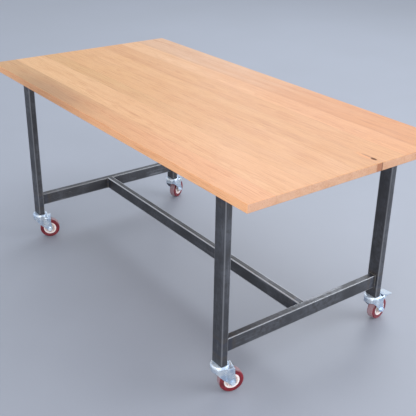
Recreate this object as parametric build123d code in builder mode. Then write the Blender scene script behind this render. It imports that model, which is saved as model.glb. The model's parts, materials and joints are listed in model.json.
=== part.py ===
"""Work table: an edge-glued wood top on a welded tube frame that rolls on four swivel casters.

Millimetres. +X runs along the table to the right, +Y to the back, +Z up.
The origin is on the floor, under the middle of the top.
"""

from build123d import *
from math import acos, atan2, cos, degrees, hypot, radians, sin, sqrt
import os

os.makedirs("parts", exist_ok=True)

# ---------------------------------------------------------------- driving dimensions

# wood top, boards listed from the front edge to the back edge
top_length = 2000.0
top_width = 1000.0
top_thickness = 32.0
board_widths = [117.0, 153.0, 76.5, 139.5, 123.0, 117.0, 106.5, 167.5]
top_edge_radius = 2.5
top_corner_radius = 4.0

# steel tube
tube_long = 60.0
tube_short = 30.0
tube_wall = 3.0
tube_corner = 4.0

# frame, outside sizes
frame_length = 1622.0
frame_width = 868.0
leg_height = 732.0
rail_clearance = 46.5
stem_plate_thickness = 6.0

# fillet welds
weld_leg = 5.0
weld_throw = 4.5
weld_crown = 0.8
weld_toe = 0.5

# angle clips that hold the top down, and their screws
clip_reach = 45.0
clip_drop = 32.0
clip_width = 40.0
clip_sheet = 4.0
clip_slot_length = 14.0
clip_slot_width = 6.8
clip_rows = [-306.0, -84.0, 82.0, 306.0]
screw_radius = 2.75
screw_depth = 22.0
screw_pilot_spare = 1.0
screw_head_flats = 10.0
screw_head_height = 4.5
screw_flange_radius = 7.0
screw_flange_height = 1.5

# casters
caster_height = 136.0
wheel_radius = 50.0
wheel_width = 34.0
wheel_trail = 45.5
tread_depth = 18.0
tread_shoulder = 5.5
tread_crown = 0.4
core_rim_depth = 7.5
core_rim_width = 32.0
core_web_width = 10.0
core_hub_radius = 15.0
core_hub_width = 46.8
core_overlap = 1.0
core_rib_count = 6
core_rib_thickness = 3.0
core_rib_width = 24.0
bushing_radius = 8.0
bushing_length = 47.6
axle_radius = 5.0
axle_hex_flats = 17.0
axle_head_height = 6.5
axle_nut_height = 8.0
axle_collar_step = 1.0
axle_tip = 3.0
axle_chamfer = 1.0

# swivel head
stem_radius = 6.0
stem_length = 34.0
stem_chamfer = 1.0
race_radius = 36.5
race_flat_radius = 30.0
race_bend = 6.5
race_depth = 9.0
race_sheet = 3.0
race_rim_sheet = 1.5
kingpin_radius = 8.0
kingpin_head_radius = 13.0
kingpin_head_height = 5.0
kingpin_head_gap = 0.4
ball_radius = 3.175
ball_pitch_radius = 24.5
ball_count = 16
ball_play = 0.1

# fork
fork_sheet = 3.0
fork_gap = 48.0
fork_roof_drop = 19.5
fork_crown_radius = 35.5
fork_crown_bend = 2.5
fork_skirt_drop = 28.5
fork_skirt_corner = -24.0
fork_skirt_bend = 15.5
fork_back = 53.5
fork_back_braked = 42.5
fork_waist_drop = 50.5
fork_boss_radius = 13.0
fork_bend = 4.0
fork_end_bend = 5.5

# brake, on the two back casters
brake_pin_trail = 57.0
brake_pin_height = 108.5
brake_pin_radius = 3.0
brake_ear_radius = 7.5
brake_rivet_radius = 5.0
brake_rivet_height = 1.5
pedal_sheet = 2.5
pedal_front = 53.5
pedal_pad_start = 65.5
pedal_end = 122.5
pedal_front_height = 120.5
pedal_end_height = 101.5
pedal_neck_width = 46.8
pedal_pad_width = 50.0
pedal_pad_corner = 7.5
pedal_cheek_sheet = 2.0
pedal_cheek_depth = 11.0
pedal_cheek_end = 113.5
pedal_cheek_end_depth = 5.0
pedal_cheek_radius = 6.5
shoe_start = 65.5
shoe_end = 75.5
shoe_width = 28.0
shoe_gap = 0.3

# fits
running_clearance = 0.08
close_clearance = 0.03

# ---------------------------------------------------------------- derived places

leg_x = frame_length / 2 - tube_long / 2
leg_y = frame_width / 2 - tube_short / 2
leg_bottom = caster_height
leg_top = leg_bottom + leg_height
lower_rail_z = leg_bottom + rail_clearance + tube_long / 2
upper_rail_z = leg_top - tube_long / 2
rail_length = 2 * leg_y - tube_short
rail_inner_x = leg_x - tube_short / 2
core_radius = wheel_radius - tread_depth
roof_top = caster_height - fork_roof_drop
roof_bottom = roof_top - fork_sheet
skirt_bottom = caster_height - fork_skirt_drop
crown_top = caster_height - race_sheet - 2 * (ball_radius + ball_play)
ball_height = crown_top + ball_play + ball_radius
fork_half = fork_gap / 2 + fork_sheet
front = -1
back = 1
left = -1
right = 1


def save(piece, node):
    """Label a finished piece and write it under its node's name."""
    piece.part.label = node
    export_step(piece.part, f"parts/{node}.step")


# ---------------------------------------------------------------- wood top


def board(node, front_edge, back_edge, screws):
    """One board of the top, with eased outer edges and pilot holes under it."""
    centre = (front_edge + back_edge) / 2
    outer = top_width / 2
    with BuildPart() as piece:
        with BuildSketch(Plane.XY.offset(leg_top)):
            with Locations((0, centre)):
                Rectangle(top_length, back_edge - front_edge)
        extrude(amount=top_thickness)
        eased = piece.edges().filter_by(Axis.Y)
        corners = []
        for side in (front_edge, back_edge):
            if abs(side) > outer - top_edge_radius:
                eased += piece.edges().filter_by(Axis.X).filter_by_position(Axis.Y, side, side)
                corners += piece.edges().filter_by(Axis.Z).filter_by_position(Axis.Y, side, side)
        if corners:
            fillet(corners, top_corner_radius)
            eased = piece.faces().filter_by(Axis.Z).edges()
            seam = back_edge if centre < 0 else front_edge
            inner = eased.filter_by(Axis.X).filter_by_position(Axis.Y, seam, seam)
            eased = eased - inner
        fillet(eased, top_edge_radius)
        if screws:
            with BuildSketch(Plane.XY.offset(leg_top)):
                with Locations(*screws):
                    Circle(screw_radius + close_clearance)
            extrude(amount=screw_depth, mode=Mode.SUBTRACT)
    save(piece, node)


# ---------------------------------------------------------------- frame


def tube(node, plane, length, wide, high):
    """A straight tube that starts on the plane and runs along its normal."""
    with BuildPart() as piece:
        with BuildSketch(plane):
            RectangleRounded(wide, high, tube_corner)
            inner_corner = tube_corner - tube_wall
            RectangleRounded(wide - 2 * tube_wall, high - 2 * tube_wall, inner_corner, mode=Mode.SUBTRACT)
        extrude(amount=length)
    save(piece, node)


def side_name(x_side):
    return "left" if x_side == left else "right"


def corner_name(x_side, y_side):
    row = "front" if y_side == front else "back"
    return f"{row}_{side_name(x_side)}"


def rail_plane(x_side, height):
    """Starts on the front leg's inner face and looks to the back."""
    origin = (x_side * leg_x, -rail_length / 2, height)
    return Plane(origin=origin, x_dir=(1, 0, 0), z_dir=(0, 1, 0))


def stem_plates():
    """The four plates that close the legs and carry the caster stems."""
    with BuildPart() as piece:
        with BuildSketch(Plane.XY.offset(leg_bottom)):
            with GridLocations(2 * leg_x, 2 * leg_y, 2, 2):
                RectangleRounded(tube_long, tube_short, tube_corner)
                Circle(stem_radius + close_clearance, mode=Mode.SUBTRACT)
        extrude(amount=stem_plate_thickness)
    save(piece, "stem_plates")


def weld_rings():
    """Fillet welds round every rail's end, and beads where the stretcher meets the lower rails."""
    ring_wide = tube_short + 2 * weld_leg
    ring_high = tube_long + 2 * weld_leg
    taper = degrees(atan2(weld_leg - weld_toe, weld_throw))
    with BuildPart() as piece:
        for x_side in (left, right):
            for height in (lower_rail_z, upper_rail_z):
                for y_side in (front, back):
                    origin = (x_side * leg_x, y_side * rail_length / 2, height)
                    face = Plane(origin=origin, x_dir=(1, 0, 0), z_dir=(0, -y_side, 0))
                    with BuildSketch(face):
                        RectangleRounded(ring_wide, ring_high, tube_corner + weld_leg)
                    extrude(amount=weld_throw, taper=taper)
                    with BuildSketch(face):
                        RectangleRounded(tube_short, tube_long, tube_corner)
                    extrude(amount=weld_throw, mode=Mode.SUBTRACT)
            # the stretcher's end: upright fillets at its sides, a filled groove over its top
            half = tube_short / 2
            flat = tube_long / 2 - tube_corner
            low = lower_rail_z - flat
            inner = x_side * rail_inner_x
            step = x_side * weld_leg
            with BuildSketch(Plane.XY.offset(low)):
                for y_side in (front, back):
                    with BuildLine():
                        Polyline(
                            (inner, y_side * half),
                            (inner, y_side * (half + weld_leg)),
                            (inner - step, y_side * half),
                            close=True,
                        )
                    make_face()
            extrude(amount=2 * flat)
            top_edge = lower_rail_z + tube_long / 2
            groove = Plane(origin=(inner, half, top_edge), x_dir=(x_side, 0, 0), z_dir=(0, -x_side, 0))
            if x_side == left:
                groove = Plane(origin=(inner, -half, top_edge), x_dir=(-1, 0, 0), z_dir=(0, 1, 0))
            arc_middle = tube_corner * (1 - sqrt(0.5))
            with BuildSketch(groove):
                with BuildLine():
                    ThreePointArc((0, -tube_corner), (arc_middle, -arc_middle), (tube_corner, 0))
                    ThreePointArc((tube_corner, 0), (tube_corner / 2, weld_crown), (0, 0))
                    Line((0, 0), (0, -tube_corner))
                make_face()
            extrude(amount=tube_short)
        # the tops of the upper rails are ground flush for the wood
        split(bisect_by=Plane.XY.offset(leg_top), keep=Keep.BOTTOM)
    save(piece, "frame_welds")


def clip_places():
    """Where the screws go up through the clips, from above."""
    screw_x = rail_inner_x - clip_reach / 2
    return [(x_side * screw_x, y) for x_side in (left, right) for y in clip_rows]


def top_clips():
    """Slotted angles on the upper rails, so the wood can swell and shrink across its boards."""
    with BuildPart() as piece:
        for x_side in (left, right):
            wall = x_side * rail_inner_x
            inside = wall - x_side * clip_sheet
            free = wall - x_side * clip_reach
            for row in clip_rows:
                start = Plane(origin=(0, row + clip_width / 2, leg_top), x_dir=(1, 0, 0), z_dir=(0, -1, 0))
                with BuildSketch(start):
                    with BuildLine():
                        Polyline(
                            (wall, 0),
                            (wall, -clip_drop),
                            (inside, -clip_drop),
                            (inside, -clip_sheet),
                            (free, -clip_sheet),
                            (free, 0),
                            close=True,
                        )
                    make_face()
                extrude(amount=clip_width)
        with BuildSketch(Plane.XY.offset(leg_top)):
            with Locations(*clip_places()):
                SlotOverall(clip_slot_length, clip_slot_width, rotation=90)
        extrude(amount=-clip_sheet, mode=Mode.SUBTRACT)
    save(piece, "top_clips")


def top_screws():
    """Flanged hex screws, up through the clips into the boards."""
    flange_top = leg_top - clip_sheet
    flange_bottom = flange_top - screw_flange_height
    with BuildPart() as piece:
        with BuildSketch(Plane.XY.offset(flange_bottom)):
            with Locations(*clip_places()):
                Circle(screw_flange_radius)
        extrude(amount=screw_flange_height)
        with BuildSketch(Plane.XY.offset(flange_bottom)):
            with Locations(*clip_places()):
                RegularPolygon(screw_head_flats / 2, 6, major_radius=False)
        extrude(amount=-screw_head_height)
        with BuildSketch(Plane.XY.offset(flange_top)):
            with Locations(*clip_places()):
                Circle(screw_radius)
        extrude(amount=clip_sheet + screw_depth - screw_pilot_spare)
    save(piece, "top_screws")


# ---------------------------------------------------------------- casters


def caster_base(x, y, swivel):
    """On the floor under the stem: x runs along the trail, y across the wheel."""
    trail = (cos(radians(swivel)), sin(radians(swivel)), 0)
    return Plane(origin=(x, y, 0), x_dir=trail, z_dir=(0, 0, 1))


def level(base, height):
    """Flat over the caster at a height, x along the trail."""
    return Plane(origin=base.origin + Vector(0, 0, height), x_dir=base.x_dir, z_dir=(0, 0, 1))


def side_view(base, across=0.0):
    """The caster from its side: x along the trail, y up. Extrusions go to minus across."""
    origin = base.origin + base.y_dir * across
    return Plane(origin=origin, x_dir=base.x_dir, z_dir=base.y_dir * -1)


def axle_view(base, across=0.0):
    """As side_view, with its origin on the axle."""
    origin = base.origin + base.x_dir * wheel_trail + base.y_dir * across
    origin += Vector(0, 0, wheel_radius)
    return Plane(origin=origin, x_dir=base.x_dir, z_dir=base.y_dir * -1)


def swivel_head(node, base):
    """Stem, upper race and kingpin: one riveted piece, fixed to the leg."""
    top = caster_height
    under = top - race_sheet
    rim_bottom = top - race_depth
    rim_top = top - race_bend
    rim_inner = race_radius - race_rim_sheet
    head_top = crown_top - fork_sheet - kingpin_head_gap
    head_bottom = head_top - kingpin_head_height
    bend = race_bend * sqrt(0.5)
    with BuildPart() as piece:
        with BuildSketch(side_view(base)):
            with BuildLine():
                Polyline(
                    (0, top + stem_length),
                    (stem_radius - stem_chamfer, top + stem_length),
                    (stem_radius, top + stem_length - stem_chamfer),
                    (stem_radius, top),
                    (race_flat_radius, top),
                )
                ThreePointArc(
                    (race_flat_radius, top),
                    (race_flat_radius + bend, rim_top + bend),
                    (race_radius, rim_top),
                )
                Polyline(
                    (race_radius, rim_top),
                    (race_radius, rim_bottom),
                    (rim_inner, rim_bottom),
                    (rim_inner, rim_top - race_rim_sheet),
                    (race_flat_radius, under),
                    (kingpin_radius, under),
                    (kingpin_radius, head_top),
                    (kingpin_head_radius, head_top),
                    (kingpin_head_radius, head_bottom + stem_chamfer),
                    (kingpin_head_radius - stem_chamfer, head_bottom),
                    (0, head_bottom),
                    (0, top + stem_length),
                )
            make_face()
        revolve(axis=Axis(base.origin, (0, 0, 1)))
    save(piece, node)


def swivel_balls(node, base):
    """The ring of balls between the two races."""
    with BuildPart(level(base, ball_height)) as piece:
        with PolarLocations(ball_pitch_radius, ball_count):
            Sphere(ball_radius)
    save(piece, node)


def cheek_touch():
    """Where the cheek's slanting lower edge meets the round boss at the axle."""
    reach = Vector(fork_skirt_corner - wheel_trail, skirt_bottom - wheel_radius)
    angle = atan2(reach.Y, reach.X) + acos(fork_boss_radius / hypot(reach.X, reach.Y))
    return (wheel_trail + fork_boss_radius * cos(angle), wheel_radius + fork_boss_radius * sin(angle))


def fork(node, base, braked):
    """Pressed fork: a round crown that is the lower race, its skirt, a roof and two cheeks."""
    inner_radius = fork_crown_radius - fork_sheet
    pocket_top = crown_top - fork_sheet
    bottom = wheel_radius - fork_boss_radius
    reach = brake_pin_trail + brake_ear_radius if braked else wheel_trail + fork_boss_radius
    touch = cheek_touch()
    boss_back = (wheel_trail + fork_boss_radius, wheel_radius)
    boss_low = (wheel_trail, bottom)
    with BuildPart() as piece:
        # the skirt and the cheeks are one wall, closed by the roof
        with BuildSketch(level(base, bottom)):
            Circle(fork_crown_radius)
            with Locations((reach / 2, 0)):
                Rectangle(reach, 2 * fork_half)
        extrude(amount=roof_top - bottom)
        bends = piece.edges().filter_by_position(Axis.Z, roof_top, roof_top)
        fillet(bends.filter_by(Axis(base.origin, base.x_dir)), fork_bend)
        with BuildSketch(level(base, bottom)):
            Circle(inner_radius)
            with Locations((reach / 2, 0)):
                Rectangle(reach, fork_gap)
        extrude(amount=roof_bottom - bottom, mode=Mode.SUBTRACT)
        # its outline from the side
        with BuildSketch(side_view(base, fork_crown_radius)) as outline:
            with BuildLine():
                Polyline(
                    touch,
                    (fork_skirt_corner, skirt_bottom),
                    (-fork_crown_radius, skirt_bottom),
                    (-fork_crown_radius, roof_top),
                    (fork_back, roof_top),
                    (fork_back, caster_height - fork_waist_drop),
                    boss_back,
                )
                ThreePointArc(boss_back, boss_low, touch)
            make_face()
            corners = outline.vertices()
            fillet(corners.sort_by_distance((fork_skirt_corner, skirt_bottom, 0))[0], fork_skirt_bend)
            if braked:
                with Locations((brake_pin_trail, brake_pin_height)):
                    Circle(brake_ear_radius)
                    Circle(brake_pin_radius + close_clearance, mode=Mode.SUBTRACT)
            else:
                corners = outline.vertices()
                fillet(corners.sort_by_distance((fork_back, roof_top, 0))[0], fork_end_bend)
            with Locations((wheel_trail, wheel_radius)):
                Circle(axle_radius + close_clearance, mode=Mode.SUBTRACT)
        extrude(amount=2 * fork_crown_radius, mode=Mode.INTERSECT)
        if braked:
            # the roof stops short, so the pedal can tip
            with BuildSketch(level(base, roof_bottom)):
                with Locations(((fork_back_braked + reach) / 2, 0)):
                    Rectangle(reach - fork_back_braked, fork_gap)
            extrude(amount=fork_sheet, mode=Mode.SUBTRACT)
        with BuildSketch(level(base, roof_bottom)):
            Circle(fork_crown_radius)
        extrude(amount=crown_top - roof_bottom)
        rims = piece.edges().filter_by(GeomType.CIRCLE)
        fillet(rims.filter_by_position(Axis.Z, crown_top, crown_top), fork_crown_bend)
        with BuildSketch(level(base, roof_bottom)):
            Circle(inner_radius)
        extrude(amount=pocket_top - roof_bottom, mode=Mode.SUBTRACT)
        with BuildSketch(level(base, pocket_top)):
            Circle(kingpin_radius + running_clearance)
        extrude(amount=fork_sheet, mode=Mode.SUBTRACT)
    save(piece, node)


def axle_bolt(node, base):
    """Hex bolt through the fork and the bushing, its head to minus across."""
    tip = fork_half + axle_nut_height + axle_tip
    with BuildPart() as piece:
        with BuildSketch(axle_view(base, -fork_half)):
            RegularPolygon(axle_hex_flats / 2, 6, major_radius=False)
        extrude(amount=axle_head_height)
        with BuildSketch(axle_view(base, -fork_half)):
            Circle(axle_radius)
        extrude(amount=-(fork_half + tip))
        end = piece.faces().sort_by(Axis(base.origin, base.y_dir))[-1]
        chamfer(end.edges(), axle_chamfer)
    save(piece, node)


def axle_nut(node, base):
    """Lock nut on the bolt's far end, with its round collar."""
    collar = axle_nut_height - axle_head_height
    with BuildPart() as piece:
        with BuildSketch(axle_view(base, fork_half)):
            RegularPolygon(axle_hex_flats / 2, 6, major_radius=False)
        extrude(amount=-axle_head_height)
        with BuildSketch(axle_view(base, fork_half + axle_head_height)):
            Circle(axle_hex_flats / 2 - axle_collar_step)
        extrude(amount=-collar)
        with BuildSketch(axle_view(base, fork_half)):
            Circle(axle_radius + close_clearance)
        extrude(amount=-axle_nut_height, mode=Mode.SUBTRACT)
    save(piece, node)


def axle_bushing(node, base):
    """Steel sleeve clamped between the cheeks; the wheel turns on it."""
    with BuildPart() as piece:
        with BuildSketch(axle_view(base, bushing_length / 2)):
            Circle(bushing_radius)
            Circle(axle_radius + close_clearance, mode=Mode.SUBTRACT)
        extrude(amount=bushing_length)
    save(piece, node)


def wheel_core(node, base):
    """Moulded core: hub, web, ribs and the pale rim that carries the tread."""
    rim_inner = core_radius - core_rim_depth
    bore = bushing_radius + running_clearance
    axis = Axis(axle_view(base).origin, base.y_dir)
    across = Plane(origin=axle_view(base).origin, x_dir=(0, 0, 1), z_dir=base.x_dir)
    with BuildPart() as piece:
        with BuildSketch(across):
            for inner, outer, width in (
                (bore, core_hub_radius, core_hub_width),
                (core_hub_radius - core_overlap, rim_inner + core_overlap, core_web_width),
                (rim_inner, core_radius, core_rim_width),
            ):
                with Locations(((inner + outer) / 2, 0)):
                    Rectangle(outer - inner, width)
        revolve(axis=axis)
        with BuildSketch(axle_view(base, core_rib_width / 2)):
            with PolarLocations((core_hub_radius + rim_inner) / 2, core_rib_count):
                Rectangle(rim_inner - core_hub_radius + 2 * core_overlap, core_rib_thickness)
        extrude(amount=core_rib_width)
    save(piece, node)


def tread(node, base):
    """Polyurethane tyre, with rounded shoulders and a slightly crowned running face."""
    half = wheel_width / 2
    flat = half - tread_shoulder
    edge = wheel_radius - tread_crown
    shoulder = edge - tread_shoulder
    bend = tread_shoulder * sqrt(0.5)
    axis = Axis(axle_view(base).origin, base.y_dir)
    across = Plane(origin=axle_view(base).origin, x_dir=(0, 0, 1), z_dir=base.x_dir)
    with BuildPart() as piece:
        with BuildSketch(across):
            with BuildLine():
                ThreePointArc((edge, flat), (wheel_radius, 0), (edge, -flat))
                ThreePointArc((edge, -flat), (shoulder + bend, -flat - bend), (shoulder, -half))
                Polyline(
                    (shoulder, -half),
                    (core_radius, -core_rim_width / 2),
                    (core_radius, core_rim_width / 2),
                    (shoulder, half),
                )
                ThreePointArc((shoulder, half), (shoulder + bend, flat + bend), (edge, flat))
            make_face()
        revolve(axis=axis)
    save(piece, node)


def brake_pin(node, base):
    """Rivet through the fork's ears, which the pedal turns on."""
    centre = base.origin + base.x_dir * brake_pin_trail + Vector(0, 0, brake_pin_height)
    with BuildPart() as piece:
        for across, radius, length in (
            (fork_half, brake_pin_radius, 2 * fork_half),
            (fork_half + brake_rivet_height, brake_rivet_radius, brake_rivet_height),
            (-fork_half, brake_rivet_radius, brake_rivet_height),
        ):
            origin = centre + base.y_dir * across
            with BuildSketch(Plane(origin=origin, x_dir=base.x_dir, z_dir=base.y_dir * -1)):
                Circle(radius)
            extrude(amount=length)
    save(piece, node)


def pedal_height(trail):
    """The pedal plate's upper face, at a distance along the trail."""
    fall = (pedal_end_height - pedal_front_height) / (pedal_end - pedal_front)
    return pedal_front_height + fall * (trail - pedal_front)


def shoe_height(trail):
    """The shoe's underside, just clear of the tread."""
    reach = wheel_radius + shoe_gap
    return wheel_radius + sqrt(reach**2 - (trail - wheel_trail) ** 2)


def pedal_plane(base, trail):
    """On the sloping upper face of the pedal, x down the slope."""
    fall = atan2(pedal_end_height - pedal_front_height, pedal_end - pedal_front)
    along = base.x_dir * cos(fall) + Vector(0, 0, sin(fall))
    normal = Vector(0, 0, cos(fall)) - base.x_dir * sin(fall)
    origin = base.origin + base.x_dir * trail + Vector(0, 0, pedal_height(trail))
    return Plane(origin=origin, x_dir=along, z_dir=normal)


def brake_pedal(node, base):
    """Pressed pedal: neck, wide pad, two cheeks on the pin, and a shoe over the tread."""
    stretch = hypot(pedal_end_height - pedal_front_height, pedal_end - pedal_front)
    stretch /= pedal_end - pedal_front
    neck = (pedal_pad_start - pedal_front) * stretch + pedal_pad_corner
    pad = (pedal_end - pedal_pad_start) * stretch
    half_sheet = pedal_sheet / 2
    shoe_middle = (shoe_start + shoe_end) / 2
    with BuildPart() as piece:
        with BuildSketch(pedal_plane(base, pedal_front)):
            with Locations((neck / 2, 0)):
                Rectangle(neck, pedal_neck_width)
        extrude(amount=-pedal_sheet)
        with BuildSketch(pedal_plane(base, pedal_pad_start)):
            with Locations((pad / 2, 0)):
                RectangleRounded(pad, pedal_pad_width, pedal_pad_corner)
        extrude(amount=-pedal_sheet)
        for across in (pedal_neck_width / 2, pedal_cheek_sheet - pedal_neck_width / 2):
            with BuildSketch(side_view(base, across)):
                with BuildLine():
                    Polyline(
                        (pedal_front, pedal_height(pedal_front) - half_sheet),
                        (pedal_cheek_end, pedal_height(pedal_cheek_end) - half_sheet),
                        (pedal_cheek_end, pedal_height(pedal_cheek_end) - pedal_cheek_end_depth),
                        (pedal_pad_start, pedal_height(pedal_pad_start) - pedal_cheek_depth),
                        (brake_pin_trail, brake_pin_height - pedal_cheek_radius),
                        (brake_pin_trail - pedal_cheek_radius, brake_pin_height),
                        close=True,
                    )
                make_face()
                with Locations((brake_pin_trail, brake_pin_height)):
                    Circle(pedal_cheek_radius)
                    Circle(brake_pin_radius + running_clearance, mode=Mode.SUBTRACT)
            extrude(amount=pedal_cheek_sheet)
        with BuildSketch(side_view(base, shoe_width / 2)):
            with BuildLine():
                ThreePointArc(
                    (shoe_start, shoe_height(shoe_start)),
                    (shoe_middle, shoe_height(shoe_middle)),
                    (shoe_end, shoe_height(shoe_end)),
                )
                Polyline(
                    (shoe_end, shoe_height(shoe_end)),
                    (shoe_end, pedal_height(shoe_end) - half_sheet),
                    (shoe_start, pedal_height(shoe_start) - half_sheet),
                    (shoe_start, shoe_height(shoe_start)),
                )
            make_face()
        extrude(amount=shoe_width)
    save(piece, node)


# ---------------------------------------------------------------- build

edge = -top_width / 2
for number, width in enumerate(board_widths, start=1):
    far_edge = edge + width
    inside = [place for place in clip_places() if edge < place[1] < far_edge]
    board(f"board_{number}", edge, far_edge, inside)
    edge = far_edge

leg_start = leg_bottom + stem_plate_thickness
for x_side in (left, right):
    side = side_name(x_side)
    for y_side in (front, back):
        leg_plane = Plane(origin=(x_side * leg_x, y_side * leg_y, leg_start), z_dir=(0, 0, 1))
        tube(f"leg_{corner_name(x_side, y_side)}", leg_plane, leg_top - leg_start, tube_long, tube_short)
    tube(f"lower_rail_{side}", rail_plane(x_side, lower_rail_z), rail_length, tube_short, tube_long)
    tube(f"upper_rail_{side}", rail_plane(x_side, upper_rail_z), rail_length, tube_short, tube_long)

stretcher_plane = Plane(origin=(-rail_inner_x, 0, lower_rail_z), x_dir=(0, 1, 0), z_dir=(1, 0, 0))
tube("stretcher", stretcher_plane, 2 * rail_inner_x, tube_short, tube_long)
stem_plates()
weld_rings()
top_clips()
top_screws()

# where each caster has swivelled to, in degrees from +X to the way its wheel trails
swivels = {
    (left, front): 64.0,
    (right, front): 73.0,
    (left, back): 115.0,
    (right, back): 97.0,
}
for (x_side, y_side), swivel in swivels.items():
    corner = corner_name(x_side, y_side)
    braked = y_side == back
    base = caster_base(x_side * leg_x, y_side * leg_y, swivel)
    swivel_head(f"swivel_head_{corner}", base)
    swivel_balls(f"swivel_balls_{corner}", base)
    fork(f"fork_{corner}", base, braked)
    axle_bolt(f"axle_bolt_{corner}", base)
    axle_nut(f"axle_nut_{corner}", base)
    axle_bushing(f"axle_bushing_{corner}", base)
    wheel_core(f"wheel_core_{corner}", base)
    tread(f"tread_{corner}", base)
    if braked:
        brake_pin(f"brake_pin_{corner}", base)
        brake_pedal(f"brake_pedal_{corner}", base)
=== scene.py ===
"""Looks for the rolling work table: wood, raw steel, weld beads and casters, in metres."""

import json
import math

import bmesh
import bpy
from mathutils import Euler, Matrix, Vector


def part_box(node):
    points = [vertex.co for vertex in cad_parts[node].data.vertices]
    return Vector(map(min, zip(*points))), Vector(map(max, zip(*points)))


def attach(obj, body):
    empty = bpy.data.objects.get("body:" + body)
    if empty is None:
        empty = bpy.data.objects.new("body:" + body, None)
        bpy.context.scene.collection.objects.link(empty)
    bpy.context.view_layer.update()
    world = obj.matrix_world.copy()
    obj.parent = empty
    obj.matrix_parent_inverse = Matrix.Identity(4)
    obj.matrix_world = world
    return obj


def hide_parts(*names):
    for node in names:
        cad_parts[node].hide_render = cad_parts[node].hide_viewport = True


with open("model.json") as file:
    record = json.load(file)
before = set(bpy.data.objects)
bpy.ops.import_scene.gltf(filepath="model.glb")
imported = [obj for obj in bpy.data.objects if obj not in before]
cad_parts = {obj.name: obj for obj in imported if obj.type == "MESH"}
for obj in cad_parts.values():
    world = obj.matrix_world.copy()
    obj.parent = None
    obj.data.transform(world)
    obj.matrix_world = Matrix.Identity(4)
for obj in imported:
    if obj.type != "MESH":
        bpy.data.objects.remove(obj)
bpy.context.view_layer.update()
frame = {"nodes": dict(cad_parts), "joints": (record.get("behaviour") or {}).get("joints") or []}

MM = 0.001
BOARDS = sorted(name for name in frame["nodes"] if name.startswith("board_"))
CORNERS = [name[len("fork_"):] for name in frame["nodes"] if name.startswith("fork_")]


# ---------------------------------------------------------------- shader helpers


class Shader:
    """A material and short calls that add nodes to it."""

    def __init__(self, name):
        self.material = bpy.data.materials.new(name)
        self.material.use_nodes = True
        self.nodes = self.material.node_tree.nodes
        self.links = self.material.node_tree.links
        self.surface = self.nodes["Principled BSDF"]
        self.coords = self.node("ShaderNodeTexCoord").outputs["Object"]

    def node(self, kind, **settings):
        made = self.nodes.new(kind)
        for key, value in settings.items():
            setattr(made, key, value)
        return made

    def put(self, socket, value):
        """Links an output into the socket, or sets a plain value on it."""
        if isinstance(value, bpy.types.NodeSocket):
            self.links.new(value, socket)
        else:
            socket.default_value = value

    def math(self, operation, first, second=0.0):
        made = self.node("ShaderNodeMath", operation=operation)
        for socket, value in zip(made.inputs, (first, second)):
            self.put(socket, value)
        return made.outputs[0]

    def plus(self, first, second):
        return self.math("ADD", first, second)

    def minus(self, first, second):
        return self.math("SUBTRACT", first, second)

    def times(self, first, second):
        return self.math("MULTIPLY", first, second)

    def apart(self, first, second):
        """The distance between two values."""
        return self.math("ABSOLUTE", self.minus(first, second))

    def spread(self, noise, width):
        """Noise moved from around a half to around 0, with a width."""
        return self.times(self.minus(noise, 0.5), width)

    def between(self, value, low, high):
        """0 at low, 1 at high, smooth in between; low may be the larger."""
        made = self.node("ShaderNodeMapRange", interpolation_type="SMOOTHSTEP")
        self.put(made.inputs["Value"], value)
        made.inputs["From Min"].default_value = min(low, high)
        made.inputs["From Max"].default_value = max(low, high)
        made.inputs["To Min"].default_value = 0.0 if low < high else 1.0
        made.inputs["To Max"].default_value = 1.0 if low < high else 0.0
        return made.outputs["Result"]

    def band(self, value, start, full, fall, end):
        """0 outside start to end, 1 from full to fall."""
        return self.times(self.between(value, end, fall), self.between(value, start, full))

    def scaled(self, vector, scale, offset=(0.0, 0.0, 0.0)):
        made = self.node("ShaderNodeMapping")
        self.put(made.inputs["Vector"], vector)
        made.inputs["Scale"].default_value = scale
        made.inputs["Location"].default_value = offset
        return made.outputs["Vector"]

    def noise(self, vector, scale, detail=3.0, roughness=0.5):
        made = self.node("ShaderNodeTexNoise")
        self.put(made.inputs["Vector"], vector)
        made.inputs["Scale"].default_value = scale
        made.inputs["Detail"].default_value = detail
        made.inputs["Roughness"].default_value = roughness
        return made.outputs["Fac"]

    def cells(self, vector, scale):
        """Distance to the nearest of a set of scattered points."""
        made = self.node("ShaderNodeTexVoronoi", feature="F1")
        self.put(made.inputs["Vector"], vector)
        made.inputs["Scale"].default_value = scale
        return made.outputs["Distance"]

    def split(self, vector):
        made = self.node("ShaderNodeSeparateXYZ")
        self.put(made.inputs[0], vector)
        return made.outputs

    def mix(self, amount, first, second, blend="MIX"):
        made = self.node("ShaderNodeMix", data_type="RGBA", blend_type=blend)
        self.put(made.inputs["Factor"], amount)
        self.put(made.inputs["A"], colour(first))
        self.put(made.inputs["B"], colour(second))
        return next(o for o in made.outputs if o.type == "RGBA")

    def paint(self, tone, mask, amount, over):
        """Lays a colour over the tone where the mask says."""
        return self.mix(self.times(mask, amount), tone, over)

    def tint(self, tone, mask, by):
        """Multiplies the tone by a colour where the mask says."""
        return self.mix(mask, tone, self.mix(1.0, tone, by, "MULTIPLY"))

    def bump(self, height, distance, strength):
        made = self.node("ShaderNodeBump")
        self.put(made.inputs["Height"], height)
        made.inputs["Distance"].default_value = distance
        made.inputs["Strength"].default_value = strength
        return made.outputs["Normal"]

    def finish(self, **sockets):
        """Sets the surface's sockets, with _ for a space in their names."""
        for key, value in sockets.items():
            self.put(self.surface.inputs[key.replace("_", " ")], value)
        return self.material


def colour(value):
    """A plain RGB triple as RGBA; a socket as it is."""
    if isinstance(value, bpy.types.NodeSocket):
        return value
    return (*value[:3], 1.0)


def srgb(red, green, blue):
    """A colour given as 0 to 255, as linear values."""

    def linear(level):
        level /= 255
        return level / 12.92 if level <= 0.04045 else ((level + 0.055) / 1.055) ** 2.4

    return tuple(linear(level) for level in (red, green, blue))


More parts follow.
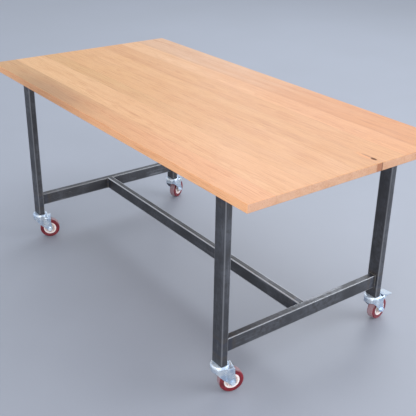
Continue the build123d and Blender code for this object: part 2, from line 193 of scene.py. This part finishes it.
def dress(names, material):
    """Gives CAD nodes their material."""
    for name in names:
        slots = frame["nodes"][name].data.materials
        slots.clear()
        slots.append(material)


def named(prefix):
    return sorted(name for name in frame["nodes"] if name.startswith(prefix))


# ---------------------------------------------------------------- wood

TOP_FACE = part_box("board_1")[1].z
# One entry for each board from front to back: tone at the left end, tone at the right end,
# heart's offset across and below the board in mm, heart's drift along the board as a slope,
# ring spacing in mm.
# the two end tones differ partly by the wood and partly by painted light: the right end is painted
# brighter
WOOD = [
    (srgb(196, 154, 107), srgb(219, 162, 117), 12, -58, 0.020, 2.6),
    (srgb(218, 174, 126), srgb(218, 166, 120), -35, -80, -0.012, 2.9),
    (srgb(206, 162, 110), srgb(213, 161, 114), 50, -45, 0.008, 2.2),
    (srgb(211, 163, 112), srgb(212, 159, 110), 20, -62, -0.022, 2.8),
    (srgb(215, 167, 117), srgb(208, 154, 102), -60, -40, 0.012, 2.4),
    (srgb(208, 158, 109), srgb(210, 155, 103), 5, -75, 0.016, 3.0),
    (srgb(217, 172, 128), srgb(213, 153, 101), -25, -52, -0.010, 2.6),
    (srgb(206, 166, 132), srgb(204, 140, 82), 40, -66, 0.018, 2.7),
]
END_GRAIN = srgb(202, 168, 148)
# painted light: the long edges are painted a brighter orange than the top
LIT_LONG_EDGE = srgb(255, 195, 147)
# painted shade: the underside is multiplied darker
UNDERSIDE_SHADE = srgb(226, 212, 200)
# painted reflection: the greyer tone of a darker patch on the front board
PAINTED_REFLECTION_TONE = srgb(208, 204, 202)
RAY_TONE = srgb(243, 206, 165)
GLUE_TONE = srgb(120, 76, 44)

# How far the noise moves from one board to the next, so that no two are alike.
BOARD_SHIFT = (3.7, 1.3, 2.1)
# Noise features per metre along, across and down through a board.
GRAIN = {
    "bend": (1.3, 6, 6),
    "ripple": (9, 42, 42),
    "uneven": (2, 2, 2),
    "broad": (1.1, 22, 22),
    "streak": (3.5, 120, 120),
    "line": (6, 270, 270),
    "fibre": (22, 900, 900),
    "pore": (55, 1700, 1700),
    "ray": (60, 420, 30),
}
# How far the grain bends and ripples, and by how many rings their count wanders.
BEND_WIDTH = 46 * MM
RIPPLE_WIDTH = 5 * MM
RING_DRIFT = 6.0
# Where along the table the left end's tone starts to turn, and where the right end's is full; the
# turn is partly the wood and partly painted light.
TONE_AND_LIGHT_TURN = (-0.85, 0.75)
# How squarely a face points along an axis when it starts to count as end or edge, and when it does.
FACE_TURN = (0.55, 0.85)

# Patches on the top: centre, and half axes along and across the boards.
KNOT = Vector((958, 106.6, 0)) * MM
KNOT_CORE = (KNOT, 17 * MM, 9 * MM)
KNOT_TAIL = (KNOT - Vector((34, -4, 0)) * MM, 42 * MM, 7 * MM)
KNOT_HALO = (KNOT - Vector((36, 2, 0)) * MM, 70 * MM, 20 * MM)
KNOT_SWAY = (KNOT, 66 * MM, 33 * MM)
KNOT_PULL = 15 * MM
# painted reflection: a greyer, darker patch over the front board's left part
PAINTED_REFLECTION_PATCH = (Vector((-420, -475, 0)) * MM, 520 * MM, 120 * MM)
# Marks on the end grain: middle, outer and inner half widths.
BRUISE = (KNOT.y - 12 * MM, 17 * MM, 10 * MM)
CHECK = (KNOT.y + 2 * MM, 3.4 * MM, 1.4 * MM)


def ellipse(wood, x, y, patch, wobble):
    """Distance from a patch's centre in units of its half axes, with an uneven outline."""
    centre, reach_x, reach_y = patch
    along = wood.math("DIVIDE", wood.minus(x, centre[0]), reach_x)
    across = wood.math("DIVIDE", wood.minus(y, centre[1]), reach_y)
    square = wood.plus(wood.times(along, along), wood.times(across, across))
    return wood.plus(wood.math("SQRT", square), wobble)


def board_wood(name, spec):
    """Sawn from a log: rings round a heart under the board, pores, rays, marks, and a painted
    reflection on the front board.
    """
    left_tone_and_shade, right_tone_and_light, heart_y, heart_z, drift, spacing = spec
    low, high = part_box(name)
    middle = (low + high) / 2
    wood = Shader("wood_" + name)
    x, y, z = wood.split(wood.coords)
    number = BOARDS.index(name)
    shifted = wood.scaled(wood.coords, (1, 1, 1), tuple(number * step for step in BOARD_SHIFT))

    def grain(kind, detail, roughness=0.5):
        return wood.noise(wood.scaled(shifted, GRAIN[kind]), 1.0, detail, roughness)

    # slow bends of the grain, then the rings, which give way round the knot
    bend = wood.spread(grain("bend", 2.0), BEND_WIDTH)
    ripple = wood.spread(grain("ripple", 3.0), RIPPLE_WIDTH)
    heart = wood.plus(wood.times(x, drift), middle.y + heart_y * MM)
    across = wood.plus(wood.minus(y, heart), bend)
    depth = wood.plus(wood.minus(z, TOP_FACE + heart_z * MM), ripple)
    square = wood.plus(wood.times(across, across), wood.times(depth, depth))
    pull = wood.times(wood.between(ellipse(wood, x, y, KNOT_SWAY, 0.0), 1.0, 0.0), KNOT_PULL)
    radius = wood.plus(wood.math("SQRT", square), pull)
    uneven = wood.times(grain("uneven", 1.0), RING_DRIFT)
    phase = wood.math("FRACT", wood.plus(wood.math("DIVIDE", radius, spacing * MM), uneven))
    late = wood.band(phase, 0.35, 0.92, 0.94, 1.0)

    # broad streaks along the board, pores and short pale rays
    broad = grain("broad", 4.0, 0.55)
    streak = grain("streak", 3.0, 0.6)
    line = grain("line", 2.0, 0.6)
    fibre = grain("fibre", 2.0, 0.7)
    early = wood.between(phase, 0.55, 0.15)
    pore = wood.times(wood.between(grain("pore", 1.0), 0.60, 0.70), early)
    ray = wood.between(grain("ray", 1.0), 0.66, 0.74)

    # end grain is pinker; the long edges are painted a brighter orange as painted light, and the
    # underside is painted darker as painted shade
    normal = wood.split(wood.node("ShaderNodeTexCoord").outputs["Normal"])
    end = wood.between(wood.math("ABSOLUTE", normal[0]), *FACE_TURN)
    side = wood.between(wood.math("ABSOLUTE", normal[1]), *FACE_TURN)
    under = wood.between(normal[2], -0.5, -0.8)
    # left end to right end tone: partly the wood, partly painted light that brightens towards the
    # right end
    sway = wood.plus(x, wood.spread(broad, 1.0))
    tone = wood.mix(wood.between(sway, *TONE_AND_LIGHT_TURN), left_tone_and_shade, right_tone_and_light)
    tone = wood.paint(tone, end, 0.75, END_GRAIN)
    # painted light on the long edges
    tone = wood.paint(tone, side, 0.9, LIT_LONG_EDGE)
    # painted shade on the underside
    tone = wood.tint(tone, under, UNDERSIDE_SHADE)
    # painted reflection: a greyer patch over the front board's left part
    painted_reflection = wood.between(ellipse(wood, x, y, PAINTED_REFLECTION_PATCH, wood.times(broad, 0.4)), 1.2, 0.3)
    tone = wood.tint(tone, wood.times(painted_reflection, 0.75), PAINTED_REFLECTION_TONE)

    for mask, strength, dark in (
        (wood.between(broad, 0.42, 0.68), 0.40, srgb(236, 222, 206)),
        (wood.between(streak, 0.50, 0.74), 0.50, srgb(238, 222, 204)),
        (late, 0.34, srgb(224, 194, 164)),
        (wood.between(line, 0.52, 0.66), 0.55, srgb(216, 194, 170)),
        (fibre, 0.45, srgb(222, 202, 182)),
        (pore, 0.55, srgb(160, 128, 100)),
    ):
        tone = wood.tint(tone, wood.times(mask, strength), dark)
    tone = wood.paint(tone, ray, 0.14, RAY_TONE)

    wobble = wood.spread(wood.noise(wood.coords, 90, 3.0), 0.9)
    halo = wood.between(ellipse(wood, x, y, KNOT_HALO, wobble), 1.0, 0.2)
    tail = wood.between(ellipse(wood, x, y, KNOT_TAIL, wobble), 1.0, 0.3)
    core = wood.between(ellipse(wood, x, y, KNOT_CORE, wobble), 1.0, 0.6)
    bruise, check = (
        wood.times(wood.between(wood.apart(y, mark), outer, inner), end)
        for mark, outer, inner in (BRUISE, CHECK)
    )
    tone = wood.paint(tone, halo, 0.65, srgb(210, 140, 78))
    tone = wood.paint(tone, tail, 0.65, srgb(128, 78, 44))
    tone = wood.mix(core, tone, srgb(92, 50, 24))
    tone = wood.paint(tone, bruise, 0.8, srgb(146, 92, 64))
    tone = wood.paint(tone, check, 0.8, srgb(92, 52, 30))

    # glue line at each seam
    reach = wood.math("MINIMUM", wood.minus(y, low.y), wood.minus(high.y, y))
    glue = wood.times(wood.between(reach, 0.7 * MM, 0.1 * MM), wood.minus(1.0, side))
    tone = wood.paint(tone, glue, 0.45, GLUE_TONE)

    # satin oil, drier on the end grain and the knot
    gloss = wood.plus(0.40, wood.times(wood.noise(wood.coords, 7, 3.0), 0.12))
    gloss = wood.plus(gloss, wood.times(wood.math("MAXIMUM", end, core), 0.3))
    height = wood.minus(wood.minus(wood.times(fibre, 0.4), pore), core)
    return wood.finish(
        Base_Color=tone,
        Roughness=gloss,
        Normal=wood.bump(height, 0.12 * MM, 0.6),
        Specular_IOR_Level=0.38,
    )


for board_name, board_spec in zip(BOARDS, WOOD):
    dress([board_name], board_wood(board_name, board_spec))


# ---------------------------------------------------------------- steel

# Noise features per metre for a tube that runs along each axis.
ALONG = {"x": (1.2, 60, 60), "y": (60, 1.2, 60), "z": (60, 60, 1.2)}
HAIR_FINER = 9
# Heat tint: the distances from a weld at which a band starts, is full, falls and ends.
STRAW_BAND = (24 * MM, 36 * MM, 38 * MM, 54 * MM)
BLUE_BAND = (6 * MM, 20 * MM, 24 * MM, 36 * MM)
BAND_WOBBLE = 18 * MM
# Worn corners, partly steel rubbed bare and partly a painted highlight: how far inside a tube's
# faces the pale line starts and is full.
CORNER_LINE_START = 5.6 * MM
CORNER_LINE_FULL = 2.2 * MM

DARK_SCALE = srgb(60, 61, 65)
PALE_SCALE = srgb(86, 88, 94)
DULL_SCALE = srgb(66, 66, 69)
RUBBED = srgb(128, 130, 136)
HAIRLINE = srgb(146, 148, 152)
RUST = srgb(90, 76, 66)
STRAW_TINT = srgb(104, 88, 70)
BLUE_TINT = srgb(56, 66, 92)
# pale corner colour: partly steel rubbed bare, partly a painted highlight
WORN_BARE_AND_HIGHLIGHT = srgb(206, 208, 213)


def corner_line(steel, position, along, low, high):
    """1 along a tube's rounded corners, 0 on its flats; it fits the mirrored tubes too."""
    line = 1.0
    for axis in "xyz".replace(along, ""):
        start, end = getattr(low, axis), getattr(high, axis)
        half = (end - start) / 2
        off_middle = steel.apart(steel.math("ABSOLUTE", position[axis]), abs(start + end) / 2)
        near_face = steel.between(off_middle, half - CORNER_LINE_START, half - CORNER_LINE_FULL)
        line = steel.times(line, near_face)
    return line


def mill_steel(name, along, box, wear_and_highlight, joints):
    """Hot-rolled tube: dark scale drawn out along it, rubbed spots, heat tint at its joints.

    With a tube's box, its corners are painted pale by the given amount: partly steel rubbed bare,
    partly a painted highlight. Joints are axes and places.
    """
    steel = Shader(name)
    position = dict(zip("xyz", steel.split(steel.coords)))
    fine = tuple(HAIR_FINER * scale for scale in ALONG[along])
    lines = steel.noise(steel.scaled(steel.coords, ALONG[along]), 1.0, 5.0, 0.65)
    hair = steel.noise(steel.scaled(steel.coords, fine), 1.0, 3.0, 0.7)
    cloud = steel.noise(steel.coords, 6.0, 4.0, 0.6)
    mottle = steel.noise(steel.coords, 55.0, 4.0, 0.65)
    rub = steel.times(steel.between(lines, 0.52, 0.72), steel.between(cloud, 0.42, 0.62))
    tone = steel.mix(steel.between(cloud, 0.35, 0.68), DARK_SCALE, PALE_SCALE)
    tone = steel.mix(steel.between(mottle, 0.40, 0.70), tone, DULL_SCALE)
    tone = steel.paint(tone, rub, 0.7, RUBBED)
    tone = steel.paint(tone, steel.between(hair, 0.60, 0.72), 0.35, HAIRLINE)
    tone = steel.paint(tone, steel.between(mottle, 0.64, 0.74), 0.25, RUST)
    for axis, place in joints:
        away = steel.plus(steel.apart(position[axis], place), steel.spread(mottle, BAND_WOBBLE))
        tone = steel.paint(tone, steel.band(away, *STRAW_BAND), 0.14, STRAW_TINT)
        tone = steel.paint(tone, steel.band(away, *BLUE_BAND), 0.18, BLUE_TINT)
    rough = steel.plus(0.34, steel.times(mottle, 0.22))
    rough = steel.minus(rough, steel.times(rub, 0.08))
    if box:
        # corners painted pale: partly steel rubbed bare, partly a painted highlight
        worn_and_highlight = corner_line(steel, position, along, *box)
        worn_and_highlight = steel.times(worn_and_highlight, steel.between(lines, 0.22, 0.48))
        tone = steel.paint(tone, worn_and_highlight, wear_and_highlight, WORN_BARE_AND_HIGHLIGHT)
        rough = steel.minus(rough, steel.times(worn_and_highlight, 0.10))
    height = steel.plus(steel.times(lines, 0.6), steel.times(mottle, 0.4))
    bumps = steel.bump(height, 0.10 * MM, 0.5)
    return steel.finish(Base_Color=tone, Metallic=0.55, Roughness=rough, Normal=bumps)


LEG_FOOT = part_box("stem_plates")[0].z
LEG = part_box("leg_front_left")
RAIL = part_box("lower_rail_left")
UPPER_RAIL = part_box("upper_rail_left")
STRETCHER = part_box("stretcher")
RAIL_JOINTS = [("z", (low.z + high.z) / 2) for low, high in (RAIL, UPPER_RAIL)]
RAIL_ENDS = [("y", corner.y) for corner in RAIL]
STRETCHER_ENDS = [("x", corner.x) for corner in STRETCHER]

# Nodes, material, axis along the tube, a tube's box, how pale its corners are painted (partly wear,
# partly a painted highlight), joints.
STEEL = [
    (named("leg_"), "steel_upright", "z", LEG, 0.22, RAIL_JOINTS),
    (named("lower_rail"), "steel_cross", "y", RAIL, 0.30, RAIL_ENDS),
    (named("upper_rail"), "steel_top_cross", "y", UPPER_RAIL, 0.30, RAIL_ENDS),
    (["stretcher"], "steel_long", "x", STRETCHER, 1.0, STRETCHER_ENDS),
    (["stem_plates", "top_clips"], "steel_small", "x", None, 0.0, []),
]
for steel_nodes, *steel_finish in STEEL:
    dress(steel_nodes, mill_steel(*steel_finish))


# ---------------------------------------------------------------- weld beads

BEAD_SIZE = 4.8 * MM
BEAD_PITCH = 4.6 * MM
BEAD_STEP = 0.7 * MM
BEAD_POINTS = 7
BEAD_BULGE = 0.75
TUBE_CORNER = 4 * MM
CORNER_STEPS = 8


def weld_steel():
    """Solidified bead: greyer than the tube, with straw and blue bands and soot specks."""
    bead = Shader("weld_steel")
    band = bead.noise(bead.coords, 70.0, 3.0)
    speck = bead.noise(bead.coords, 420.0, 3.0, 0.7)
    tone = bead.mix(bead.between(band, 0.35, 0.55), srgb(84, 86, 90), srgb(102, 98, 92))
    tone = bead.mix(bead.between(band, 0.55, 0.70), tone, srgb(62, 72, 98))
    tone = bead.paint(tone, bead.between(speck, 0.55, 0.68), 0.6, srgb(40, 38, 38))
    rough = bead.plus(0.38, bead.times(speck, 0.22))
    bumps = bead.bump(speck, 0.06 * MM, 0.5)
    return bead.finish(Base_Color=tone, Metallic=0.6, Roughness=rough, Normal=bumps)


def rounded_outline(half_wide, half_high, corner):
    """Points and outward directions round a rounded rectangle, from its top edge's middle."""
    path = [(Vector((0, half_high)), Vector((0, 1)))]
    for quarter, (side, rise) in enumerate(((1, 1), (1, -1), (-1, -1), (-1, 1))):
        centre = Vector((side * (half_wide - corner), rise * (half_high - corner)))
        for step in range(CORNER_STEPS + 1):
            angle = math.radians(90 - 90 * quarter - 90 * step / CORNER_STEPS)
            out = Vector((math.cos(angle), math.sin(angle)))
            path.append((centre + out * corner, out))
    path.append(path[0])
    return path


def evenly(path, spacing):
    """The same path with points a spacing apart."""
    points = []
    carried = 0.0
    for (start, start_out), (end, end_out) in zip(path, path[1:]):
        length = (end - start).length
        while carried < length:
            part = carried / length
            points.append((start.lerp(end, part), start_out.lerp(end_out, part).normalized()))
            carried += spacing
        carried -= length
    return points


def add_bead(mesh, points, place, closed):
    """A row of overlapping scallops; place turns (flat point, rise) into a 3-D point."""
    rings = []
    for index, (point, out) in enumerate(points):
        travelled = index * BEAD_STEP / BEAD_PITCH
        scallop = travelled - math.floor(travelled)
        grown = BEAD_SIZE * (0.86 + 0.16 * math.sin(math.pi * scallop) ** 0.6)
        grown *= 1 + 0.05 * math.sin(travelled * 2.3) + 0.03 * math.sin(travelled * 5.1 + 1)
        ring = [mesh.verts.new(place(point, 0.0))]
        for step in range(BEAD_POINTS):
            angle = math.pi / 2 * step / (BEAD_POINTS - 1)
            last = step == BEAD_POINTS - 1
            reach = 0.0 if last else grown * math.cos(angle) ** BEAD_BULGE
            rise = grown * math.sin(angle) ** BEAD_BULGE
            ring.append(mesh.verts.new(place(point + out * reach, rise)))
        rings.append(ring)
    for ring, following in zip(rings, rings[1:] + (rings[:1] if closed else [])):
        for first in range(len(ring)):
            second = (first + 1) % len(ring)
            mesh.faces.new((ring[first], ring[second], following[second], following[first]))
    if not closed:
        mesh.faces.new(rings[0])
        mesh.faces.new(list(reversed(rings[-1])))


def finished_mesh(name, mesh, material, body):
    """Turns a bmesh into a piece that rides on a body."""
    bmesh.ops.recalc_face_normals(mesh, faces=mesh.faces)
    data = bpy.data.meshes.new(name)
    mesh.to_mesh(data)
    mesh.free()
    data.shade_smooth()
    piece = bpy.data.objects.new(name, data)
    bpy.context.scene.collection.objects.link(piece)
    data.materials.append(material)
    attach(piece, body)
    return piece


def weld_beads():
    """Every weld: beads round the rails' ends, and up both sides of the stretcher's ends."""
    mesh = bmesh.new()
    for rail in named("lower_rail") + named("upper_rail"):
        low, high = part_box(rail)
        middle = (low + high) / 2
        half_high = (high.z - low.z) / 2
        points = evenly(rounded_outline((high.x - low.x) / 2, half_high, TUBE_CORNER), BEAD_STEP)
        under_wood = rail.startswith("upper")
        if under_wood:
            # an upper rail's top lies against the wood, so its bead stops at the corners
            points = [pair for pair in points if pair[0].y < half_high - TUBE_CORNER]
        for end in (low.y, high.y):
            inward = 1 if end < 0 else -1

            def place(flat, rise, middle=middle, end=end, inward=inward):
                return Vector((middle.x + flat.x, end + inward * rise, middle.z + flat.y))

            add_bead(mesh, points, place, closed=not under_wood)
    low, high = STRETCHER
    middle = (low + high) / 2
    half_wide = (high.y - low.y) / 2
    reach = (high.z - low.z) / 2 - TUBE_CORNER
    for end in (low.x, high.x):
        inward = 1 if end < 0 else -1

        def upright(flat, rise, end=end, inward=inward):
            return Vector((end + inward * rise, flat.x, middle.z + flat.y))

        for side in (-1, 1):
            out = Vector((side, 0))
            column = [(Vector((side * half_wide, edge)), out) for edge in (-reach, reach)]
            add_bead(mesh, evenly(column, BEAD_STEP), upright, closed=False)
    return finished_mesh("weld_beads", mesh, weld_steel(), "table")


beads = weld_beads()
dress(["frame_welds"], weld_steel())


# ---------------------------------------------------------------- casters

ZINC_PALE = srgb(214, 224, 234)
ZINC_BLUE = srgb(176, 194, 216)
ZINC_STRAW = srgb(208, 212, 212)
ZINC_DULL = srgb(150, 156, 164)
TREAD_RADIUS = 50 * MM


def zinc(name, lit_brightness, rough, metal):
    """Bright zinc plate: faint clouds of blue and straw, fine rolling lines, dull spots."""
    plate = Shader(name)
    cloud = plate.noise(plate.coords, 28.0, 3.0)
    grit = plate.noise(plate.coords, 600.0, 3.0, 0.6)
    smear = plate.noise(plate.scaled(plate.coords, (40, 40, 240)), 1.0, 4.0, 0.6)
    # the brightness factor partly stands in for light: brighter parts carry a painted highlight
    pale, blue, straw = (
        tuple(min(1.0, level * lit_brightness) for level in tone)
        for tone in (ZINC_PALE, ZINC_BLUE, ZINC_STRAW)
    )
    tone = plate.mix(plate.between(cloud, 0.38, 0.62), blue, pale)
    tone = plate.paint(tone, plate.between(cloud, 0.58, 0.74), 0.7, straw)
    tone = plate.paint(tone, plate.between(smear, 0.55, 0.75), 0.35, ZINC_DULL)
    level = plate.plus(rough, plate.times(smear, 0.16))
    bumps = plate.bump(grit, 0.02 * MM, 0.35)
    return plate.finish(Base_Color=tone, Metallic=metal, Roughness=level, Normal=bumps)


def radial(shader, corner):
    """Distance from a wheel's axle line, in metres."""
    low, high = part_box("tread_" + corner)
    joint = next(j for j in frame["joints"] if j["child"] == "wheel_" + corner)
    moved = shader.node("ShaderNodeVectorMath", operation="SUBTRACT")
    shader.put(moved.inputs[0], shader.coords)
    moved.inputs[1].default_value = (low + high) / 2
    crossed = shader.node("ShaderNodeVectorMath", operation="CROSS_PRODUCT")
    shader.put(crossed.inputs[0], moved.outputs[0])
    crossed.inputs[1].default_value = Vector(joint["axis"])
    length = shader.node("ShaderNodeVectorMath", operation="LENGTH")
    shader.put(length.inputs[0], crossed.outputs[0])
    return length.outputs["Value"]


def urethane(corner):
    """Dark red cast tyre: slightly clear, dusty and scuffed where it rolls."""
    tyre = Shader("urethane_" + corner)
    away = radial(tyre, corner)
    cloud = tyre.noise(tyre.coords, 60.0, 3.0)
    grit = tyre.noise(tyre.coords, 700.0, 3.0, 0.65)
    tone = tyre.mix(tyre.between(cloud, 0.35, 0.7), srgb(100, 14, 28), srgb(128, 24, 38))
    rolls = tyre.between(away, TREAD_RADIUS - 1.0 * MM, TREAD_RADIUS - 0.3 * MM)
    dust = tyre.plus(0.45, tyre.times(tyre.between(grit, 0.36, 0.60), 0.45))
    tone = tyre.mix(tyre.times(rolls, dust), tone, srgb(172, 146, 152))
    nick = tyre.times(rolls, tyre.between(tyre.cells(tyre.coords, 260.0), 0.16, 0.08))
    tone = tyre.paint(tone, nick, 0.5, srgb(74, 20, 26))
    rough = tyre.plus(0.26, tyre.times(rolls, 0.26))
    rough = tyre.plus(rough, tyre.times(cloud, 0.08))
    return tyre.finish(
        Base_Color=tone,
        Roughness=rough,
        Normal=tyre.bump(grit, 0.05 * MM, 0.35),
        Subsurface_Weight=0.12,
        Subsurface_Radius=(0.006, 0.001, 0.001),
        Coat_Weight=0.25,
    )


def moulded_core(corner):
    """Cream moulded plastic with a fine grain, painted darker near the hub as painted shade in the
    recessed web.
    """
    core = Shader("core_" + corner)
    away = radial(core, corner)
    cloud = core.noise(core.coords, 45.0, 4.0)
    grain = core.noise(core.coords, 900.0, 2.0)
    tone = core.mix(core.between(cloud, 0.35, 0.70), srgb(242, 230, 228), srgb(230, 216, 212))
    # painted shade: the recessed web near the hub is painted darker
    hub_shade = core.times(core.between(away, 24 * MM, 14 * MM), core.between(cloud, 0.3, 0.6))
    tone = core.paint(tone, hub_shade, 0.5, srgb(118, 110, 98))
    rough = core.plus(0.38, core.times(cloud, 0.14))
    bumps = core.bump(grain, 0.03 * MM, 0.4)
    return core.finish(Base_Color=tone, Roughness=rough, Normal=bumps, Subsurface_Weight=0.05)


BOLTS = named("axle_bolt") + named("axle_nut") + named("brake_pin") + ["top_screws"]
# Nodes, material, brightness (the swivel heads and bolts painted brighter than the fork, partly a
# painted highlight), roughness, metallic.
PLATED = [
    (named("fork_") + named("brake_pedal"), "zinc_pressed", 0.98, 0.20, 0.78),
    (named("swivel_head"), "zinc_race", 1.18, 0.20, 0.45),
    (BOLTS, "zinc_bolt", 1.18, 0.18, 0.50),
    (named("swivel_balls") + named("axle_bushing"), "bearing_steel", 0.9, 0.10, 0.92),
]
for plated_nodes, *plated_finish in PLATED:
    dress(plated_nodes, zinc(*plated_finish))
for corner_name in CORNERS:
    dress(["tread_" + corner_name], urethane(corner_name))
    dress(["wheel_core_" + corner_name], moulded_core(corner_name))

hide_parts("frame_welds")


# ---------------------------------------------------------------- stage

FLOOR_SIZE = 40.0
SKY_TINT = (0.86, 0.92, 1.0, 1.0)
SKY_STRENGTH = 0.95
# Name, place, aim, width and height in metres, watts, tint.
LIGHTS = [
    ("skylight", (0.6, 0.8, 5.0), (0.0, 0.0, 0.6), (5.4, 3.8), 60, (1.0, 0.98, 0.95)),
    ("window", (4.7, -3.9, 2.3), (0.3, 0.0, 0.4), (4.0, 2.6), 180, (1.0, 0.97, 0.94)),
    ("side_wall", (4.6, 4.6, 2.2), (0.3, 0.2, 0.3), (4.4, 2.6), 250, (0.94, 0.97, 1.0)),
    ("far_wall", (-3.4, 4.6, 4.4), (-0.1, 0.2, 0.3), (4.0, 2.4), 120, (0.92, 0.96, 1.0)),
]
CAMERA_PLACE = Vector((2.5886, -1.8415, LEG_FOOT + 1.7463))
CAMERA_AZIMUTH, CAMERA_DOWN, CAMERA_ROLL = (math.radians(v) for v in (53.146, 25.622, 0.997))
SENSOR_WIDTH = 36.0
LENS = 65.08
FAR_CLIP = 100.0


def floor_paint():
    """Pale sealed concrete, almost plain."""
    concrete = Shader("floor")
    cloud = concrete.noise(concrete.coords, 1.4, 4.0)
    fleck = concrete.noise(concrete.coords, 130.0, 3.0)
    tone = concrete.mix(cloud, srgb(146, 150, 160), srgb(157, 161, 172))
    tone = concrete.paint(tone, fleck, 0.10, srgb(130, 134, 144))
    rough = concrete.plus(0.42, concrete.times(cloud, 0.12))
    return concrete.finish(Base_Color=tone, Roughness=rough, Specular_IOR_Level=0.35)


def make_floor():
    sheet = bmesh.new()
    bmesh.ops.create_grid(sheet, x_segments=1, y_segments=1, size=FLOOR_SIZE / 2)
    data = bpy.data.meshes.new("floor")
    sheet.to_mesh(data)
    sheet.free()
    floor = bpy.data.objects.new("floor", data)
    bpy.context.scene.collection.objects.link(floor)
    data.materials.append(floor_paint())


def area_light(name, place, aim, size, watts, tint):
    data = bpy.data.lights.new(name, "AREA")
    data.shape = "RECTANGLE"
    data.size, data.size_y = size
    data.energy = watts
    data.color = tint
    lamp = bpy.data.objects.new(name, data)
    lamp.location = place
    lamp.rotation_euler = (Vector(aim) - Vector(place)).to_track_quat("-Z", "Y").to_euler()
    bpy.context.scene.collection.objects.link(lamp)


def make_world():
    world = bpy.data.worlds.new("hall")
    world.use_nodes = True
    back = world.node_tree.nodes["Background"]
    back.inputs["Color"].default_value = SKY_TINT
    back.inputs["Strength"].default_value = SKY_STRENGTH
    bpy.context.scene.world = world


def make_camera():
    """A standing viewer past the table's front right corner, with a short telephoto lens."""
    data = bpy.data.cameras.new("camera")
    data.sensor_width = SENSOR_WIDTH
    data.lens = LENS
    data.clip_end = FAR_CLIP
    camera = bpy.data.objects.new("camera", data)
    camera.matrix_world = (
        Matrix.Translation(CAMERA_PLACE)
        @ Euler((math.pi / 2 - CAMERA_DOWN, 0, CAMERA_AZIMUTH)).to_matrix().to_4x4()
        @ Matrix.Rotation(CAMERA_ROLL, 4, "Z")
    )
    bpy.context.scene.collection.objects.link(camera)
    bpy.context.scene.camera = camera


make_floor()
make_world()
for light in LIGHTS:
    area_light(*light)
make_camera()
bpy.context.scene.view_settings.view_transform = "Standard"
